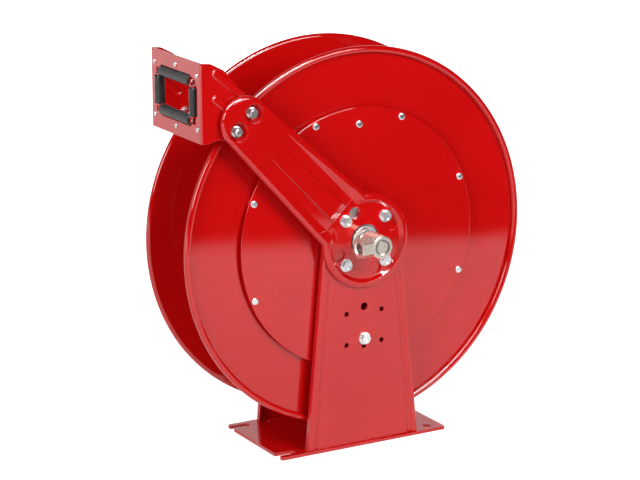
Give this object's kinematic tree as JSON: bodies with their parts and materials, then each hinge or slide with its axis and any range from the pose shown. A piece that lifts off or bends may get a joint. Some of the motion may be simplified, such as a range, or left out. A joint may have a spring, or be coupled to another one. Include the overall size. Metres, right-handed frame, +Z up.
{
  "type": "fire hose reel",
  "caption": "Spring-retracting hose reel: spool between two pedestals on a flat base, roller hose guide on arms, side water swivel and latch.",
  "frame": {"origin": "on the base plate's underside, below the middle of the axle", "axes": "+Z up; the axle runs along Y with the swivel and spring side at -Y; the hose leaves through the roller guide toward -X"},
  "size_m": [0.6099, 0.2456, 0.6455],
  "materials": {
    "red_paint": "gloss red powder coat, slight orange peel",
    "zinc_plate": "bright zinc plate",
    "nickel_plate": "bright nickel plate",
    "roller_rubber": "black moulded roller, satin",
    "bare_steel": "turned steel",
    "spring_steel": "blued spring steel",
    "bronze": "sintered bronze",
    "seal_rubber": "nitrile seal ring"
  },
  "bodies": {
    "frame": {"base_plate": "red_paint", "pedestal_near": "red_paint", "pedestal_far": "red_paint", "guide_arm_near": "red_paint", "guide_arm_far": "red_paint", "roller_guide": "red_paint", "retainer_upper": "red_paint", "retainer_lower": "red_paint", "roller_rivets": "zinc_plate", "roller_pins": "bare_steel", "arm_end_bolts_near": "zinc_plate", "arm_end_bolts_far": "zinc_plate", "arm_end_nuts_near": "zinc_plate", "arm_end_nuts_far": "zinc_plate", "hub_bolts_near": "zinc_plate", "hub_bolts_far": "zinc_plate", "spring_arbor": "bare_steel", "bearing_housing_far": "bare_steel", "bearing_near": "bronze", "bearing_far": "bronze", "latch_pivot": "zinc_plate", "pawl_clip": "spring_steel", "latch_spring": "spring_steel"},
    "spool": {"shaft": "bare_steel", "thrust_washer_near": "zinc_plate", "thrust_washer_far": "zinc_plate", "snap_rings": "spring_steel", "disc_near": "red_paint", "disc_far": "red_paint", "drum": "red_paint", "hub_plate": "red_paint", "far_hub": "red_paint", "spring_cover": "red_paint", "cover_standoffs": "zinc_plate", "cover_screws": "zinc_plate", "spring_anchor": "zinc_plate", "mainspring": "spring_steel", "riser": "zinc_plate", "outlet_elbow": "nickel_plate", "ratchet": "zinc_plate", "swivel_stem": "nickel_plate", "swivel_ring": "spring_steel"},
    "guide_roller_top": {"roller_top": "roller_rubber"},
    "guide_roller_bottom": {"roller_bottom": "roller_rubber"},
    "guide_roller_near": {"roller_near": "roller_rubber"},
    "guide_roller_far": {"roller_far": "roller_rubber"},
    "swivel": {"swivel_body": "nickel_plate", "swivel_seals": "seal_rubber"},
    "latch": {"latch_pawl": "zinc_plate"}
  },
  "joints": [
    {"name": "spool_spin", "type": "hinge", "parent": "frame", "child": "spool", "pos_m": [0, 0, 0.339], "axis": [0, -1, 0], "range_deg": [0, 4320], "stiffness_Nm_per_rad": 0.106, "springref_deg": -3242.94, "deforming": ["mainspring"]},
    {"name": "roller_top_spin", "type": "hinge", "parent": "frame", "child": "guide_roller_top", "pos_m": [-0.2793, 0, 0.61395], "axis": [0, 1, 0], "continuous": true},
    {"name": "roller_bottom_spin", "type": "hinge", "parent": "frame", "child": "guide_roller_bottom", "pos_m": [-0.2793, 0, 0.55355], "axis": [0, 1, 0], "continuous": true},
    {"name": "roller_near_spin", "type": "hinge", "parent": "frame", "child": "guide_roller_near", "pos_m": [-0.2793, -0.05875, 0.58375], "axis": [0, 0, 1], "continuous": true},
    {"name": "roller_far_spin", "type": "hinge", "parent": "frame", "child": "guide_roller_far", "pos_m": [-0.2793, 0.05875, 0.58375], "axis": [0, 0, 1], "continuous": true},
    {"name": "swivel_turn", "type": "hinge", "parent": "frame", "child": "swivel", "pos_m": [0, -0.1246, 0.339], "axis": [0, 1, 0], "continuous": true},
    {"name": "latch_swing", "type": "hinge", "parent": "frame", "child": "latch", "pos_m": [0, -0.077, 0.178], "axis": [0, -1, 0], "range_deg": [0, 9], "stiffness_Nm_per_rad": 0.4, "springref_deg": -14.32, "deforming": ["latch_spring"]}
  ]
}
